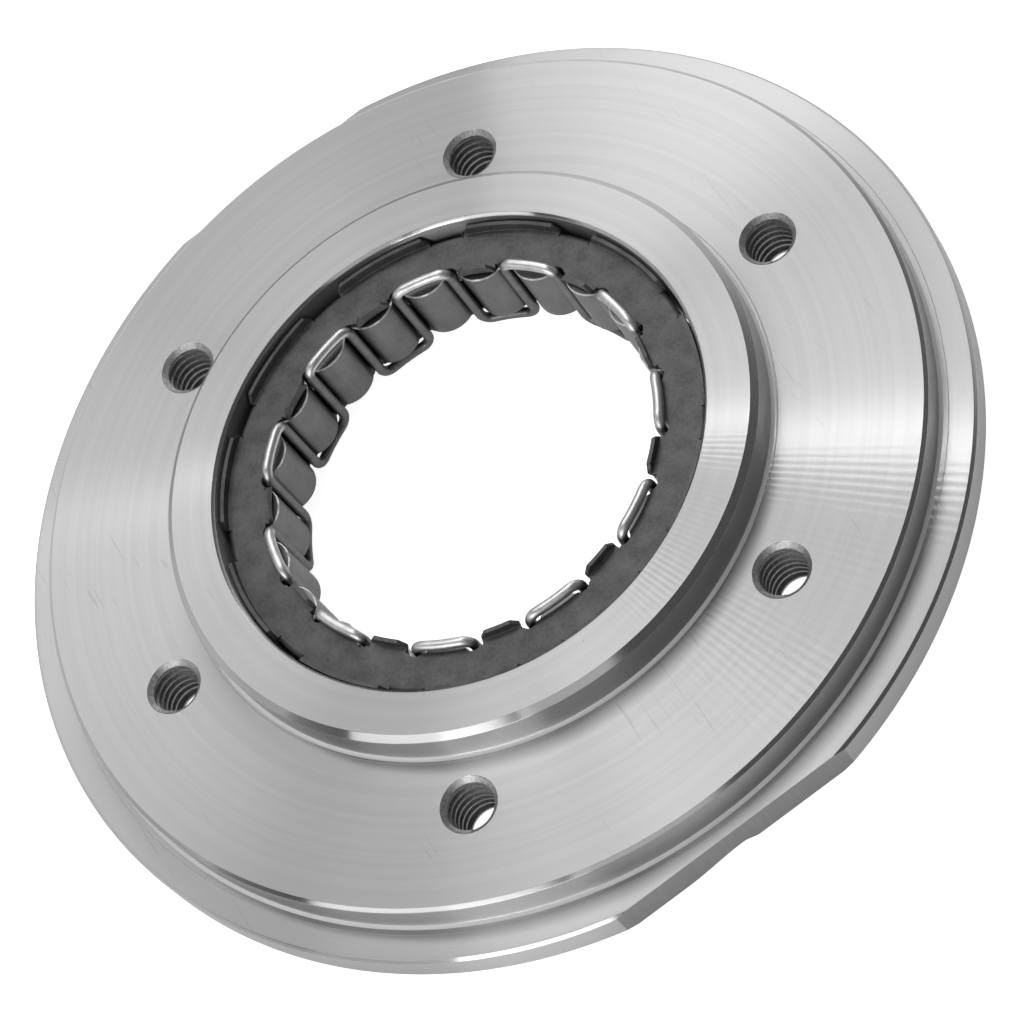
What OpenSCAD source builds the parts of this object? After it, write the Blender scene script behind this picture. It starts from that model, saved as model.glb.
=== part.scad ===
// One-way starter clutch: a stepped outer race that bolts to a flywheel, and inside its bore a sprag
// unit of two cage rings, a meander spring and a full ring of sprags.
// Z runs along the clutch's axis, with the hub side up. The origin is on the axis at the rearmost face.

/* [Outer race] */
// Diameter of the hardened bore that the sprags run in
bore_d = 71.4; // [70.8:0.1:74]
// Diameter of the raised hub round the bore
hub_d = 86.1; // [82:0.1:92]
// Diameter of the pilot step that centres the clutch in the flywheel
pilot_d = 128.8; // [124:0.1:132]
// Largest diameter, over the rim
rim_d = 139; // [137:0.1:150]
// Diameter of the short register round the bore on the rear side
register_d = 86; // [80:0.5:90]
// Height of the rear register
register_h = 1.2; // [1:0.1:2]
// Thickness of the rim, from the rear face up to the ledge
rim_h = 4.7; // [4:0.1:8]
// Height of the pilot step, from the ledge up to the main face
pilot_h = 4.9; // [3:0.1:7]
// Height of the hub above the main face
hub_h = 5.55; // [5:0.05:8]
// Distance from the axis to the flat on each side of the rim
flat_y = 67.15; // [66.2:0.05:69]
// Chamfer of the bore's mouths
bore_chamfer = 0.42; // [0.2:0.02:0.8]
// Width of the chamfer round the hub's edge
hub_chamfer = 0.95; // [0.4:0.05:1.5]
// Height of the chamfer round the hub's edge
hub_chamfer_h = 0.8; // [0.4:0.05:1.5]
// Width of the chamfer round the main face
pilot_chamfer = 0.55; // [0.2:0.05:1]
// Height of the chamfer round the main face
pilot_chamfer_h = 0.4; // [0.2:0.05:1]
// Width of the chamfers of the rim and of the register
rim_chamfer = 0.42; // [0.2:0.02:1]
// Height of the chamfer round the rim's ledge
rim_chamfer_h = 0.7; // [0.2:0.05:1]
// Width of the turned relief at the foot of the hub
hub_relief = 0.95; // [0.5:0.05:1.5]
// Width of the turned relief at the foot of the pilot step
pilot_relief = 1.35; // [0.5:0.05:1.8]
// Depth of both turned reliefs
relief_depth = 0.2; // [0.1:0.05:0.5]

/* [Bolt holes] */
// Diameter of the circle that the tapped holes lie on
bolt_circle_d = 100.6; // [98:0.1:112]
// Number of tapped holes
bolt_count = 6; // [3:1:8]
// Thread diameter of the holes, which are drawn at it
bolt_d = 8; // [5:0.5:10]
// Chamfer of each hole's two mouths
bolt_chamfer = 0.08; // [0.05:0.01:0.5]

/* [Rim notch] */
// Length of the notch's long slope, in the rear edge of the flat at -Y
notch_long = 9.2; // [4:0.1:12]
// Length of its short slope
notch_short = 2.3; // [1:0.1:6]
// Height of the notch
notch_h = 0.86; // [0.4:0.02:1.5]
// Place of its highest point along the flat
notch_x = 0.7; // [-6:0.1:6]
// How far the notch reaches in from the flat
notch_depth = 2.5; // [1:0.1:4]

/* [Sprags] */
// Space between the bore and the gear boss that the sprags grip
sprag_space = 8.3; // [8.2:0.02:8.5]
// Number of sprags, an even number
sprag_count = 22; // [18:2:22]
// Angle of the first sprag under a tab of the front ring
first_angle = 88.1; // [0:0.1:360]
// Radius of a sprag's outer cam
outer_cam_r = 4; // [3.4:0.05:4.4]
// Sideways offset of the outer cam, which makes the sprag wedge when it tilts
cam_offset = 0.45; // [0.1:0.05:0.8]
// Width of a sprag's head at the cage rings
head_w = 7; // [5:0.1:7.2]
// Width of a sprag's waist
waist_w = 4.2; // [3:0.1:5]
// Chamfer of a sprag's two ends
sprag_chamfer = 0.18; // [0.05:0.01:0.4]
// Gap left between the sprags' outer crests and the bore
sprag_gap = 0.3; // [0.25:0.01:0.5]

/* [Cage rings] */
// Thickness of the sheet that both rings are pressed from
sheet_t = 0.55; // [0.4:0.05:0.8]
// Height over the two rings' outer faces
unit_h = 11.58; // [9:0.02:11.6]
// Depth of the front ring's face below the hub's face
unit_inset = 2.66; // [2.5:0.02:4]
// Gap between the front ring's lips and the bore
cage_gap = 0.35; // [0.3:0.01:0.6]
// How far the front ring's rim lies inside its lips' outer faces
rim_inset = 0.35; // [0.2:0.05:0.6]
// Distance of the rings' inner edges outside the spring wire's centre line
ring_out = 0.65; // [0.6:0.05:0.9]
// Gap between a sprag's ends and the rings
end_play = 0.15; // [0.1:0.01:0.3]
// Inside radius of every bend of the sheet
bend_r = 0.15; // [0.1:0.05:0.5]
// Arc of each raised lip's foot on the front ring's rim, in degrees
lip_angle = 24.2; // [16:0.1:26]
// Height of the lips above the front ring's face
lip_h = 1.44; // [1:0.02:2]
// How much shorter a lip's top edge is at each end than its foot
lip_taper = 0.9; // [0.3:0.1:2]
// Slit between a lip and the rim beside it
lip_slit = 0.2; // [0.1:0.05:0.8]
// Width of each tab at its tip
tab_w = 4.2; // [2:0.1:4.6]
// Width of each tab at its root
tab_root_w = 5.5; // [4.6:0.1:5.6]
// Height of the tabs above the ring's face
tab_h = 1.34; // [1:0.02:1.5]
// Radius of the corners of a tab's tip
tab_corner_r = 0.5; // [0.2:0.05:0.6]
// Distance of the tabs' inner faces outside the gear boss
tab_out = 0.75; // [0.6:0.05:1]
// Width of the posts that join the two rings
post_w = 2.6; // [1.5:0.1:3]
// Gap round a post's end in its slot in the rear ring
tenon_gap = 0.1; // [0.05:0.05:0.3]

/* [Meander spring] */
// Diameter of the spring wire
wire_d = 1.45; // [0.8:0.05:1.5]
// Distance of the wire's centre line outside the gear boss
wire_out = 1.35; // [1.1:0.05:1.6]
// Height of the wire's loops over the rings' faces, to its centre line
wire_rise = 0.94; // [0.9:0.02:1.1]
// Radius of the wire's corners, to its centre line
wire_corner = 1.6; // [0.8:0.05:2]
// Gap between the wire's legs and the sprags
leg_gap = 0.3; // [0.25:0.01:0.6]
// Gap round a leg where it passes the rings
leg_notch_gap = 0.45; // [0.2:0.05:0.8]

/* [Hidden] */
$fn = 180;
cut = 1;
bore_r = bore_d / 2;
ledge_z = register_h + rim_h;
main_z = ledge_z + pilot_h;
hub_z = main_z + hub_h;
front_z = hub_z - unit_inset;
rear_z = front_z - unit_h;
mid_z = (front_z + rear_z) / 2;
pitch = 360 / sprag_count;
race_r = bore_r - sprag_space;
wire_r = race_r + wire_out;
// The inner cam's radius follows from the circle that passes a leg of the wire at leg_gap.
leg_in = race_r - wire_r * cos(pitch / 2);
leg_side = wire_r * sin(pitch / 2);
leg_reach = wire_d / 2 + leg_gap;
inner_cam_r = (leg_in * leg_in + leg_side * leg_side - leg_reach * leg_reach) / (2 * (leg_reach - leg_in));
pivot_r = race_r + inner_cam_r;
crest_r = bore_r - sprag_gap;
outer_cam_x = sqrt(pow(crest_r - outer_cam_r, 2) - cam_offset * cam_offset) - pivot_r;
sprag_len = unit_h - 2 * sheet_t - 2 * end_play;
lip_r = bore_r - cage_gap;
post_r = lip_r - rim_inset;
plate_r = post_r - sheet_t - bend_r;
plate_in_r = wire_r + ring_out;
tab_r = race_r + tab_out;
tab_count = sprag_count / 2;

function two_digits(n) = n < 10 ? str("0", n) : str(n);
function sprag_name(n) = str("sprag_", two_digits(n));

steel = [0.78, 0.79, 0.8];
sheet_grey = [0.27, 0.28, 0.29];
wire_grey = [0.6, 0.61, 0.62];
sprag_grey = [0.36, 0.37, 0.38];

// Outer race

module race_section() {
    polygon([
        [bore_r + bore_chamfer, 0],
        [register_d / 2 - rim_chamfer, 0],
        [register_d / 2, rim_chamfer],
        [register_d / 2, register_h],
        [rim_d / 2 - rim_chamfer, register_h],
        [rim_d / 2, register_h + rim_chamfer],
        [rim_d / 2, ledge_z - rim_chamfer_h],
        [rim_d / 2 - rim_chamfer, ledge_z],
        [pilot_d / 2 + pilot_relief, ledge_z],
        [pilot_d / 2 + pilot_relief, ledge_z - relief_depth],
        [pilot_d / 2, ledge_z - relief_depth],
        [pilot_d / 2, main_z - pilot_chamfer_h],
        [pilot_d / 2 - pilot_chamfer, main_z],
        [hub_d / 2 + hub_relief, main_z],
        [hub_d / 2 + hub_relief - relief_depth, main_z - relief_depth],
        [hub_d / 2, main_z - relief_depth],
        [hub_d / 2, hub_z - hub_chamfer_h],
        [hub_d / 2 - hub_chamfer, hub_z],
        [bore_r + bore_chamfer, hub_z],
        [bore_r, hub_z - bore_chamfer],
        [bore_r, bore_chamfer],
    ]);
}

// A hole's section, with a chamfer at the main face and at the rear face
module bolt_hole() {
    r = bolt_d / 2;
    rotate_extrude() polygon([
        [0, register_h - cut],
        [r + bolt_chamfer + cut, register_h - cut],
        [r, register_h + bolt_chamfer],
        [r, main_z - bolt_chamfer],
        [r + bolt_chamfer + cut, main_z + cut],
        [0, main_z + cut],
    ]);
}

module rim_flat() {
    translate([-rim_d / 2, flat_y, register_h - cut]) cube([rim_d, rim_d, rim_h + 2 * cut]);
}

// A shallow notch across the rear edge of the flat at -Y, rising slowly from one side and falling fast
module rim_notch() {
    steps = 8;
    slope = [for (side = [-1, 1], i = [side < 0 ? -steps : 1 : side < 0 ? 0 : steps])
        [i / steps * (side < 0 ? notch_long : notch_short), notch_h * (1 + cos(180 * i / steps)) / 2]];
    translate([notch_x, -flat_y + notch_depth, register_h]) rotate([90, 0, 0])
        linear_extrude(height = notch_depth + cut)
            polygon(concat(slope, [[notch_short, -cut], [-notch_long, -cut]]));
}

module outer_race() {
    color(steel) difference() {
        rotate_extrude() race_section();
        for (i = [0 : bolt_count - 1]) rotate(i * 360 / bolt_count)
            translate([bolt_circle_d / 2, 0, 0]) bolt_hole();
        rim_flat();
        mirror([0, 1, 0]) rim_flat();
        rim_notch();
    }
}

// Cage rings, each drawn as the front one, with its outer face up at z = 0

// How far the root of a tab, lip or post reaches into the flat of its ring
root = 0.6;
// Share of a tab's height that its taper takes
tab_taper = 0.7;
// Share of a post's width that its end keeps
tenon_share = 0.6;

// The section of a bend: the sheet turns from flat, outside radius x, to upright
module bend_section(r, height) {
    outer = bend_r + sheet_t;
    difference() {
        union() {
            translate([r, -sheet_t]) square([outer, outer]);
            translate([r, bend_r]) square([sheet_t, height - bend_r]);
        }
        difference() {
            translate([r - cut, -sheet_t - cut]) square([outer + cut, outer + cut]);
            translate([r + outer, bend_r]) circle(r = outer);
        }
        translate([r + outer, bend_r]) circle(r = bend_r);
    }
}

// The outline of a tab as seen along a radius, wide at its root, with rounded tip corners
module tab_outline() {
    r = tab_corner_r;
    square_w = tab_w - 2 * r;
    taper_z = bend_r + tab_taper * (tab_h - bend_r);
    translate([-tab_w / 2, -sheet_t - cut]) square([tab_w, sheet_t + cut + tab_h - r]);
    translate([-square_w / 2, 0]) square([square_w, tab_h]);
    for (side = [-1, 1]) translate([side * square_w / 2, tab_h - r]) circle(r = r, $fn = 40);
    polygon([
        [-tab_root_w / 2, -sheet_t - cut],
        [tab_root_w / 2, -sheet_t - cut],
        [tab_root_w / 2, bend_r],
        [tab_w / 2, taper_z],
        [-tab_w / 2, taper_z],
        [-tab_root_w / 2, bend_r],
    ]);
}

// A tab bent up from the ring's inner edge, on the +X axis
module tab() {
    bend_end = tab_r + sheet_t + bend_r;
    reach = plate_in_r + root;
    intersection() {
        rotate([0, 0, -pitch / 2]) rotate_extrude(angle = pitch) union() {
            bend_section(tab_r, tab_h);
            translate([bend_end, -sheet_t]) square([reach - bend_end, sheet_t]);
        }
        translate([tab_r - cut, 0, 0]) rotate([90, 0, 90])
            linear_extrude(height = reach + cut - tab_r) tab_outline();
    }
}

// The section of a bend at the rim, with its root inside it
module rim_section(r, height) {
    mirror([1, 0]) translate([-2 * r, 0]) bend_section(r, height);
    translate([plate_r - root, -sheet_t]) square([r - sheet_t - bend_r - plate_r + root, sheet_t]);
}

// A lip bent up from the ring's rim, centred on the +X axis, with its ends sloping in
module lip() {
    foot = lip_r * sin(lip_angle / 2) + cut;
    top = lip_r * sin(lip_angle / 2) - lip_taper;
    intersection() {
        rotate([0, 0, -lip_angle / 2]) rotate_extrude(angle = lip_angle) rim_section(lip_r, lip_h);
        translate([race_r, 0, 0]) rotate([90, 0, 90]) linear_extrude(height = sprag_space) polygon([
            [-foot, -sheet_t - cut],
            [foot, -sheet_t - cut],
            [foot, -lip_h * cut / lip_taper],
            [top, lip_h],
            [top, lip_h + cut],
            [-top, lip_h + cut],
            [-top, lip_h],
            [-foot, -lip_h * cut / lip_taper],
        ]);
    }
}

// The flat of a ring with a notch for each leg of the wire
module cage_plate(r) {
    difference() {
        translate([0, 0, -sheet_t]) cylinder(h = sheet_t, r = r);
        translate([0, 0, -sheet_t - cut]) cylinder(h = sheet_t + 2 * cut, r = plate_in_r);
        for (i = [0 : sprag_count - 1]) rotate((i + 0.5) * pitch)
            translate([wire_r, 0, -sheet_t - cut])
                cylinder(h = sheet_t + 2 * cut, r = wire_d / 2 + leg_notch_gap, $fn = 40);
    }
}

tenon_w = tenon_share * post_w;

// A post that runs from the front ring's rim back to the rear ring, on the +X axis. Its shoulders fill the
// rim between two lips, and its end stands a little proud of the rear ring's face.
module post() {
    length = unit_h + tenon_gap;
    shoulder_w = (2 * pitch - lip_angle) * PI / 180 * post_r - 2 * lip_slit;
    intersection() {
        rotate([0, 0, -pitch / 2]) rotate_extrude(angle = pitch)
            translate([0, -sheet_t]) mirror([0, 1]) rim_section(post_r, length - sheet_t);
        union() {
            translate([0, -shoulder_w / 2, -sheet_t]) cube([bore_r, shoulder_w, sheet_t]);
            translate([0, -post_w / 2, sheet_t - unit_h]) cube([bore_r, post_w, unit_h - sheet_t]);
            translate([0, -tenon_w / 2, -length]) cube([bore_r, tenon_w, length]);
        }
    }
}

module front_cage_ring() {
    color(sheet_grey) translate([0, 0, front_z]) rotate(first_angle) {
        cage_plate(plate_r);
        for (i = [0 : tab_count - 1]) rotate(i * 2 * pitch) {
            tab();
            rotate(-pitch / 2) lip();
            rotate(pitch / 2) post();
        }
    }
}

// The rear ring, turned over and slotted for the ends of the posts
module rear_cage_ring() {
    slot_w = tenon_w + 2 * tenon_gap;
    slot_t = sheet_t + 2 * tenon_gap;
    color(sheet_grey) translate([0, 0, rear_z]) rotate(first_angle) difference() {
        mirror([0, 0, 1]) cage_plate(lip_r);
        for (i = [0 : tab_count - 1]) rotate((2 * i + 0.5) * pitch)
            translate([post_r - sheet_t - tenon_gap, -slot_w / 2, -cut]) cube([slot_t, slot_w, sheet_t + 2 * cut]);
    }
}

// Meander spring: a closed wire on a cylinder, whose legs pass every gap between sprags and whose loops
// lie by turns over the front ring and under the rear ring

wire_front_z = front_z + wire_rise;
wire_rear_z = rear_z - wire_rise;
wire_sides = 8;
corner_steps = 4;
loop_steps = 3;
arc_mm = PI * wire_r / 180;
leg_mm = pitch / 2 * arc_mm;

// Points of one corner as [way round in mm, height, heading]
function corner(x, z, from, to, head_from, head_to) = [
    for (i = [0 : corner_steps])
        let (t = i / corner_steps, a = from + (to - from) * t)
        [x + wire_corner * cos(a), z + wire_corner * sin(a), head_from + (head_to - head_from) * t]
];
function loop_points(from, to, z) = [
    for (i = [1 : loop_steps - 1]) [from + (to - from) * i / loop_steps, z, 0]
];
// One wave: a rear loop under a tab's sprag, a leg up, a front loop, a leg down
function wave() =
    let (lo = wire_rear_z + wire_corner, hi = wire_front_z - wire_corner, in = leg_mm - wire_corner,
         out = leg_mm + wire_corner, wide = 4 * leg_mm)
    concat(
        loop_points(-in, in, wire_rear_z),
        corner(in, lo, -90, 0, 0, 90),
        corner(out, hi, 180, 90, 90, 0),
        loop_points(out, wide - out, wire_front_z),
        corner(wide - out, hi, 90, 0, 0, -90),
        corner(wide - in, lo, 180, 270, -90, 0));
wire_path = [
    for (i = [0 : tab_count - 1], p = wave())
        [first_angle + i * 2 * pitch + p[0] / arc_mm, p[1], p[2]]
];
// A ring of points round the wire at one point of its path
function wire_ring(p) = [
    for (k = [0 : wire_sides - 1])
        let (turn = 360 * k / wire_sides, out = wire_d / 2 * cos(turn), side = wire_d / 2 * sin(turn),
             along = -side * sin(p[2]), r = wire_r + out)
        [r * cos(p[0]) - along * sin(p[0]), r * sin(p[0]) + along * cos(p[0]), p[1] + side * cos(p[2])]
];

module meander_spring() {
    count = len(wire_path);
    points = [for (p = wire_path, q = wire_ring(p)) q];
    faces = [
        for (i = [0 : count - 1], k = [0 : wire_sides - 1])
            let (j = (i + 1) % count, m = (k + 1) % wire_sides)
            [i * wire_sides + k, i * wire_sides + m, j * wire_sides + m, j * wire_sides + k]
    ];
    color(wire_grey) polyhedron(points = points, faces = faces, convexity = 12);
}

// Sprags, each drawn with its pivot at the origin and +X away from the clutch's axis

// Distance of the waist outside the pivot
neck_x = 0.4;
// Length of a head's taper for each millimetre that it gains on one side
head_taper = 1.6;

module cam(r, x, y) {
    h = sprag_len / 2;
    translate([x, y, 0]) rotate_extrude() polygon([
        [0, -h], [r - sprag_chamfer, -h], [r, sprag_chamfer - h],
        [r, h - sprag_chamfer], [r - sprag_chamfer, h], [0, h],
    ]);
}

// A side's outline: full width at the head, tapering to the waist
module head_outline(length) {
    taper = (head_w - waist_w) / 2 * head_taper;
    polygon([
        [0, -waist_w / 2], [taper, -head_w / 2], [length, -head_w / 2],
        [length, head_w / 2], [taper, head_w / 2], [0, waist_w / 2],
    ]);
}

module half_sprag(side, r, x, y) {
    reach = bore_r - race_r;
    intersection() {
        cam(r, x, y);
        translate([neck_x, 0, -sprag_len]) linear_extrude(height = 2 * sprag_len)
            mirror([side < 0 ? 1 : 0, 0]) head_outline(reach);
    }
}

module sprag(n) {
    color(sprag_grey) rotate(first_angle + (n - 1) * pitch) translate([pivot_r, 0, mid_z]) union() {
        half_sprag(-1, inner_cam_r, 0, 0);
        half_sprag(1, outer_cam_r, outer_cam_x, cam_offset);
    }
}

outer_race();
front_cage_ring();
rear_cage_ring();
meander_spring();
for (n = [1 : sprag_count]) sprag(n);
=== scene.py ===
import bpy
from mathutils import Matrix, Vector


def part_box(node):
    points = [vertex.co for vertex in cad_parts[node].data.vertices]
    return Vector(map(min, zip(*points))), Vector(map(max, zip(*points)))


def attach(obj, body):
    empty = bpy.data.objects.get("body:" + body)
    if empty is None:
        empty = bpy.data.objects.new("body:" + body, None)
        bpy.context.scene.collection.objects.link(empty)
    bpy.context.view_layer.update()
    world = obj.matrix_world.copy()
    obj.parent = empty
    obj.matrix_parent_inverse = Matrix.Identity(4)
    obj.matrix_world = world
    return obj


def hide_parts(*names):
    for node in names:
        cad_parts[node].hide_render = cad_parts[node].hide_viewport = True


bl_info = {
    "name": "Starter Clutch",
    "version": (1, 0, 0),
    "blender": (4, 5, 0),
    "location": "View3D > Sidebar > Clutch",
    "description": "Dresses the packed starter clutch: race, threads, cage, spring, sprags, stage",
    "category": "Object",
}

import math

import bpy
from mathutils import Matrix, Vector

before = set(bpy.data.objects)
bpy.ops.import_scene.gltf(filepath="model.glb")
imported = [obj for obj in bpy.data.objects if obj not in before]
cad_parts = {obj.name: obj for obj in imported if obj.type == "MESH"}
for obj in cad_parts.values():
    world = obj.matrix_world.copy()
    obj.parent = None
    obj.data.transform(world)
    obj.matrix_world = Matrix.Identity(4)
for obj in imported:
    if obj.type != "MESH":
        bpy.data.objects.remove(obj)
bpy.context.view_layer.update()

MM = 0.001
MICRON = 1e-6
SPRAG_COUNT = sum(name.startswith("sprag_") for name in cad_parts)
RACE_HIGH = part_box("outer_race")[1]
SPRING_LOW, SPRING_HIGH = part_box("meander_spring")


def linear(hex_colour):
    """An sRGB hex colour such as 'B8BABD' as a linear colour."""
    parts = [int(hex_colour[i:i + 2], 16) / 255 for i in (0, 2, 4)]
    return (*(c / 12.92 if c <= 0.04045 else ((c + 0.055) / 1.055) ** 2.4 for c in parts), 1.0)


def length(name, description, millimetres):
    """A length property, given in millimetres."""
    return bpy.props.FloatProperty(name=name, description=description, default=millimetres * MM,
                                   min=0.0, unit="LENGTH", precision=5)


def colour(name, description, hex_colour):
    """A colour property, given as an sRGB hex colour."""
    return bpy.props.FloatVectorProperty(name=name, description=description,
                                         default=linear(hex_colour), size=4, min=0.0, max=1.0,
                                         subtype="COLOR")


# Sizes and colours that a user would change

class RaceSizes(bpy.types.PropertyGroup):
    """Sizes of the turned outer race, which stands on its rear register"""
    bore: length("Bore", "Diameter of the hardened bore", 71.4)
    hub: length("Hub", "Diameter of the raised hub", 86.1)
    pilot: length("Pilot", "Diameter of the pilot step", 128.8)
    register: length("Register", "Diameter of the short register on the rear side", 86)
    register_height: length("Register height", "Height of the rear register", 1.2)
    ledge: length("Ledge", "Height of the rim's ledge", 5.9)
    main_face: length("Main face", "Height of the face that the tapped holes open in", 10.8)
    flat: length("Flats", "Distance from the axis to the flat on each side of the rim", 67.15)
    bore_chamfer: length("Bore chamfer", "Chamfer of the bore's mouths", 0.42)
    hub_chamfer: length("Hub chamfer", "Width of the chamfer round the hub's edge", 0.95)
    hub_chamfer_height: length("Hub chamfer height", "Height of that chamfer", 0.8)
    pilot_chamfer: length("Pilot chamfer", "Width of the chamfer round the main face", 0.55)
    pilot_chamfer_height: length("Pilot chamfer height", "Height of that chamfer", 0.4)
    rim_chamfer: length("Rim chamfer", "Width of the chamfers of the rim and of the register", 0.42)
    rim_chamfer_height: length("Rim chamfer height", "Height of the chamfer round the ledge", 0.44)
    hub_relief: length("Hub relief", "Width of the turned relief at the foot of the hub", 0.95)
    pilot_relief: length("Pilot relief", "Width of the turned relief at the foot of the pilot step",
                         1.35)
    relief_fillet: length("Relief fillet", "Width of the sloping foot between relief and wall",
                          0.55)
    relief_rise: length("Relief rise", "Height of that sloping foot", 0.27)
    relief_step: length("Relief step", "Height of the small step at the reliefs' outer edge", 0.06)
    edge_break: length("Edge break", "Rounding of every edge of the race", 0.04)
    notch_long: length("Notch's long slope", "Length of the notch's slow side", 9.2)
    notch_short: length("Notch's short slope", "Length of the notch's fast side", 2.3)
    notch_height: length("Notch height", "Height of the notch in the near flat's rear edge", 0.86)
    notch_place: length("Notch place", "Place of its highest point along the flat", 0.7)
    notch_depth: length("Notch depth", "How far the notch reaches in from the flat", 2.5)


class ThreadSizes(bpy.types.PropertyGroup):
    """Sizes of the tapped holes and their threads"""
    circle: length("Bolt circle", "Diameter of the circle that the tapped holes lie on", 100.6)
    count: bpy.props.IntProperty(name="Tapped holes", description="Number of tapped holes",
                                 default=6, min=1, max=12)
    diameter: length("Thread diameter", "Outer diameter of the threads", 8)
    pitch: length("Thread pitch", "Rise of the thread in one turn", 1.25)
    crest: length("Thread crest", "Diameter over the thread's crests", 6.75)
    mouth: length("Hole mouth", "Chamfer of the holes' mouths", 0.08)
    countersink: length("Countersink", "Depth of the countersink over the threads", 0.6)
    collar: length("Collar", "Height of the plain ring under the countersink", 0.1)


class SpringSizes(bpy.types.PropertyGroup):
    """Sizes of the meander spring"""
    wire: length("Wire", "Diameter of the spring wire", 1.45)
    corner: length("Corner", "Radius of the wire's corners, to its centre line", 1.6)
    turn: bpy.props.FloatProperty(
        name="Turn", description="Angle of the sprag that the spring's first rear loop lies under",
        default=math.radians(88.1), subtype="ANGLE")


class CageSizes(bpy.types.PropertyGroup):
    """Sizes of the cage's sheet"""
    sheet_edge: length("Sheet edges", "Rounding of the cage sheet's sheared edges", 0.05)


class ClutchColours(bpy.types.PropertyGroup):
    """Colours of the clutch and of the floor"""
    race_steel: colour("Turned steel", "Colour of the turned outer race", "BABABA")
    flat_steel: colour("Milled steel", "Colour of the milled flats on the rim", "929292")
    # Painted highlight: the reliefs' colour is lighter than the turned steel's
    relief_painted_highlight: colour("Relief steel", "Colour of the turned reliefs at the foot of the walls",
                         "E6E6E6")
    # Painted shade and light in the tapped holes: walls and flanks get a darker tint as shade in
    # the grooves, crests and countersinks a lighter one
    hole_painted_shade: colour("Tapped steel", "Colour of the walls and flanks in the tapped holes",
                       "969696")
    crest_painted_light: colour("Thread crests", "Colour of the thread crests and countersinks", "C4C4C4")
    cage_sheet: colour("Cage sheet", "Colour of the phosphated sheet of the cage", "5C5C5C")
    spring_wire: colour("Spring wire", "Colour of the drawn spring wire", "848484")
    # Painted highlight: the lighter tint of the spring wire's top, its front loops
    painted_lit_wire: colour("Rubbed wire", "Colour of the spring's front loops, rubbed by handling",
                        "E4E4E4")
    sprag_steel: colour("Sprag steel", "Colour of the tumbled sprags", "808080")
    # Painted highlight: the lighter colour of the sprags' upward chamfers
    sprag_edge: colour("Sprag edges", "Colour of the sprags' rubbed edges", "F0F0F0")
    floor: colour("Floor", "Colour of the studio floor", "F4F4F4")


# Materials. A pattern's scale is its count of grains, rings or cells to the millimetre.

def node(tree, kind, settings=None, links=None):
    """Adds a node, sets its properties and sockets, and links its inputs, by name or number.

    A link is an output, or a node whose first output is meant.
    """
    made = tree.nodes.new(kind)
    for key, value in (settings or {}).items():
        if isinstance(key, int) or key in made.inputs:
            made.inputs[key].default_value = value
        else:
            setattr(made, key, value)
    for key, source in (links or {}).items():
        output = source.outputs[0] if isinstance(source, bpy.types.Node) else source
        tree.links.new(output, made.inputs[key])
    return made


def new_material(name):
    """An empty node material, with its tree."""
    material = bpy.data.materials.new(name)
    material.use_nodes = True
    material.node_tree.nodes.clear()
    return material, material.node_tree


def finish_surface(tree, settings, links=None):
    """The Principled shader and the material's output."""
    shader = node(tree, "ShaderNodeBsdfPrincipled", settings, links)
    node(tree, "ShaderNodeOutputMaterial", None, {"Surface": shader})


def toned(tree, tint, pattern, spread, tones):
    """The tint, scaled from the first to the second tone as the pattern goes through its spread."""
    tone = node(tree, "ShaderNodeMapRange", {"From Min": spread[0], "From Max": spread[1],
                                             "To Min": tones[0], "To Max": tones[1]},
                {"Value": pattern})
    return node(tree, "ShaderNodeVectorMath", {"operation": "SCALE", 0: tint[:3]}, {"Scale": tone})


# The side of the race, as a direction from its axis, on which the chatter is strongest
CHATTER_SIDE = (0.47, -0.88, 0.0)
# Ripples a turn, and how far they lean back, in radians for each metre outwards
CHATTER_COUNT, CHATTER_LEAN = 300.0, 150.0
# The height of a face's normal: flat faces lie above the first, chamfers near the second
FLAT_RISE, CHAMFER_RISE, CHAMFER_SPREAD = 0.95, 0.6, 0.3
FACE_ROUGHNESS, CHAMFER_ROUGHNESS = 0.3, 0.17
# How far the tool's path turns off the ring, as a share of its length, and how deep its grooves are
WANDER, GROOVE_DEPTH = 0.006, 2.5 * MICRON
# What a speck and a scratch take from the steel's brightness
SPECK_SHADE, SCRATCH_SHADE = -0.45, -0.14


def chatter(tree, place, radius, outward, upward):
    """Height of the ripples on the faces: a few micrometres, left where the tool sprang back."""
    parts = node(tree, "ShaderNodeSeparateXYZ", None, {0: place}).outputs
    azimuth = node(tree, "ShaderNodeMath", {"operation": "ARCTAN2"}, {0: parts[1], 1: parts[0]})
    turn = node(tree, "ShaderNodeMath", {"operation": "MULTIPLY", 1: CHATTER_COUNT}, {0: azimuth})
    phase = node(tree, "ShaderNodeMath", {"operation": "MULTIPLY_ADD", 1: CHATTER_LEAN},
                 {0: radius, 2: turn})
    ripple = node(tree, "ShaderNodeMath", {"operation": "SINE"}, {0: phase})
    # It comes and goes in patches about 17 mm wide
    patches = node(tree, "ShaderNodeTexNoise", {"Scale": 0.06 / MM, "Detail": 1.0},
                   {"Vector": place})
    patch = node(tree, "ShaderNodeMapRange", {"From Min": 0.35, "From Max": 0.6,
                                              "To Min": 0.8 * MICRON, "To Max": 4 * MICRON},
                 {"Value": patches})
    side = node(tree, "ShaderNodeVectorMath", {"operation": "DOT_PRODUCT", 1: CHATTER_SIDE},
                {0: outward}).outputs["Value"]
    near_side = node(tree, "ShaderNodeMapRange",
                     {"interpolation_type": "SMOOTHSTEP", "From Min": 0.90, "From Max": 0.98,
                      "To Min": 0.1}, {"Value": side})
    on_face = node(tree, "ShaderNodeMath", {"operation": "GREATER_THAN", 1: FLAT_RISE}, {0: upward})
    height = node(tree, "ShaderNodeMath", {"operation": "MULTIPLY"}, {0: patch, 1: near_side})
    height = node(tree, "ShaderNodeMath", {"operation": "MULTIPLY"}, {0: height, 1: on_face})
    return node(tree, "ShaderNodeMath", {"operation": "MULTIPLY"}, {0: ripple, 1: height})


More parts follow.
